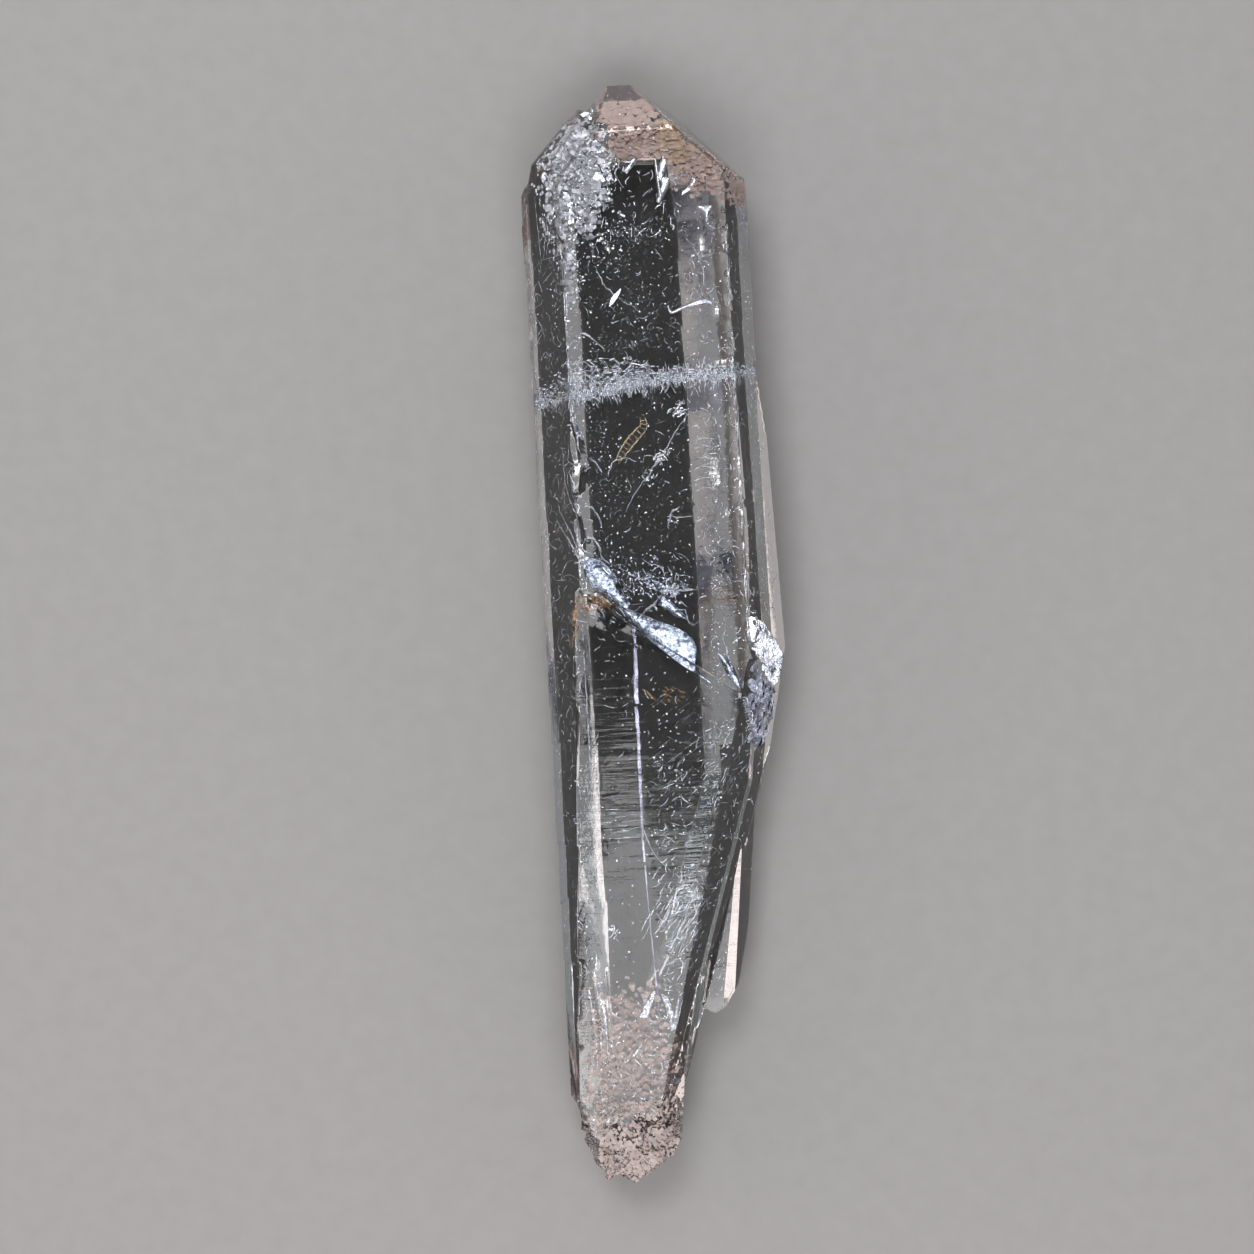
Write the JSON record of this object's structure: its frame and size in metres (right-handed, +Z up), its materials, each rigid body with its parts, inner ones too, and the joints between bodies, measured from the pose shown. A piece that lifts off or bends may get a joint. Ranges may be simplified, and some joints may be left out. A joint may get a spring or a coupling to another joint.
{
  "type": "lemurian quartz crystal",
  "caption": "Long clear quartz crystal with a faceted point, stepped prism faces, a diagonal step, a thin side blade and a rough broken root, lying on its back face.",
  "frame": {"origin": "centre of the bounding box, at the level of the surface that the crystal lies on", "axes": "+Y along the long axis towards the point, +X to the right seen from above with the point away, +Z up out of the broad front face"},
  "size_m": [0.0382, 0.1753, 0.023],
  "materials": {
    "clear_quartz": "clear natural quartz with glossy crystal faces, fine growth lines, inner cracks and milky veils"
  },
  "bodies": {
    "root": {"quartz_crystal": "clear_quartz"}
  },
  "joints": []
}
